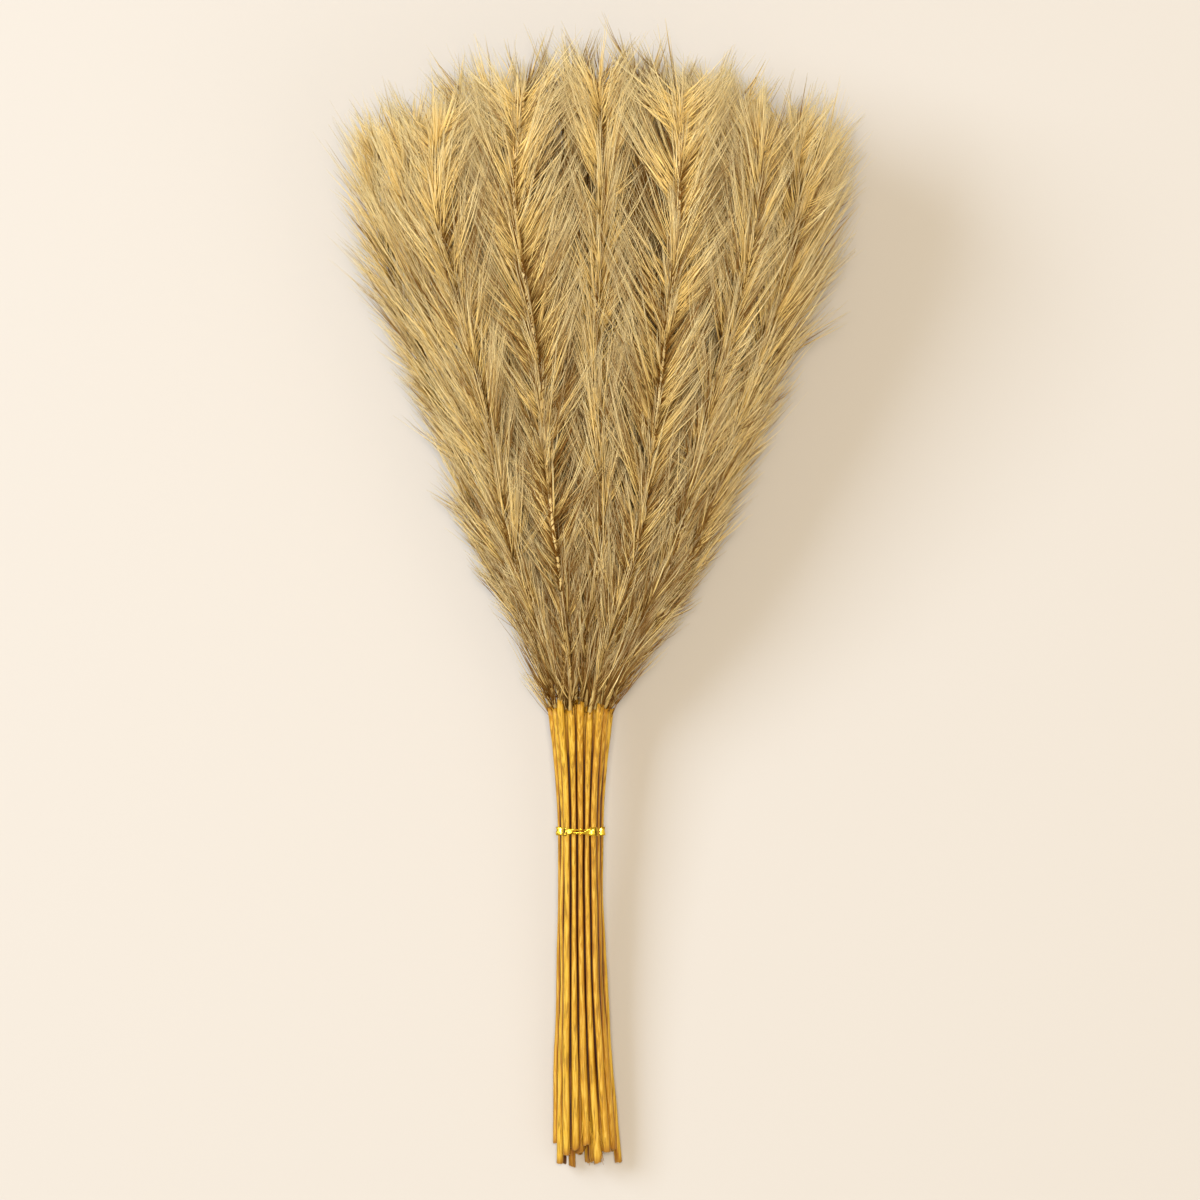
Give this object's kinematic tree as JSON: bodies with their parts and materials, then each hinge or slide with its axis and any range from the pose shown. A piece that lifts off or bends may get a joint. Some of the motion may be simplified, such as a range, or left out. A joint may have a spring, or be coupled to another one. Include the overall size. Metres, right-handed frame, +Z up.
{
  "type": "bundle of pampas grass",
  "caption": "Bunch of dried pampas grass lying down: feathery golden plumes fan out from slender stalks in leaf sheaths, held by a gold foil twist tie.",
  "frame": {"origin": "middle of the bounding box in X and Y, on the surface that the bunch lies on", "axes": "+Y from the cut ends to the plume tips, +Z up from the surface, +X across the bunch"},
  "size_m": [0.1964, 0.4452, 0.1063],
  "materials": {
    "stem": "dry golden straw, satin, faintly ribbed along its length",
    "plume": "dry silky plume fibres, light at the tips and brown between the tufts",
    "tie": "crumpled shiny gold foil"
  },
  "bodies": {
    "root": {"stem_01": "stem", "stem_02": "stem", "stem_03": "stem", "stem_04": "stem", "stem_05": "stem", "stem_06": "stem", "stem_07": "stem", "stem_08": "stem", "stem_09": "stem", "stem_10": "stem", "stem_11": "stem", "stem_12": "stem", "stem_13": "stem", "stem_14": "stem", "stem_15": "stem", "stem_16": "stem", "stem_17": "stem", "stem_18": "stem", "stem_19": "stem", "stem_20": "stem", "stem_21": "stem", "stem_22": "stem", "stem_23": "stem", "stem_24": "stem", "stem_25": "stem", "stem_26": "stem", "stem_27": "stem", "stem_28": "stem", "plume_01": "plume", "plume_02": "plume", "plume_03": "plume", "plume_04": "plume", "plume_05": "plume", "plume_06": "plume", "plume_07": "plume", "plume_08": "plume", "plume_09": "plume", "plume_10": "plume", "plume_11": "plume", "plume_12": "plume", "plume_13": "plume", "plume_14": "plume", "plume_15": "plume", "plume_16": "plume", "plume_17": "plume", "plume_18": "plume", "plume_19": "plume", "plume_20": "plume", "plume_21": "plume", "plume_22": "plume", "plume_23": "plume", "plume_24": "plume", "plume_25": "plume", "plume_26": "plume", "plume_27": "plume", "plume_28": "plume", "tie_band": "tie", "tie_twist": "tie"}
  },
  "joints": []
}
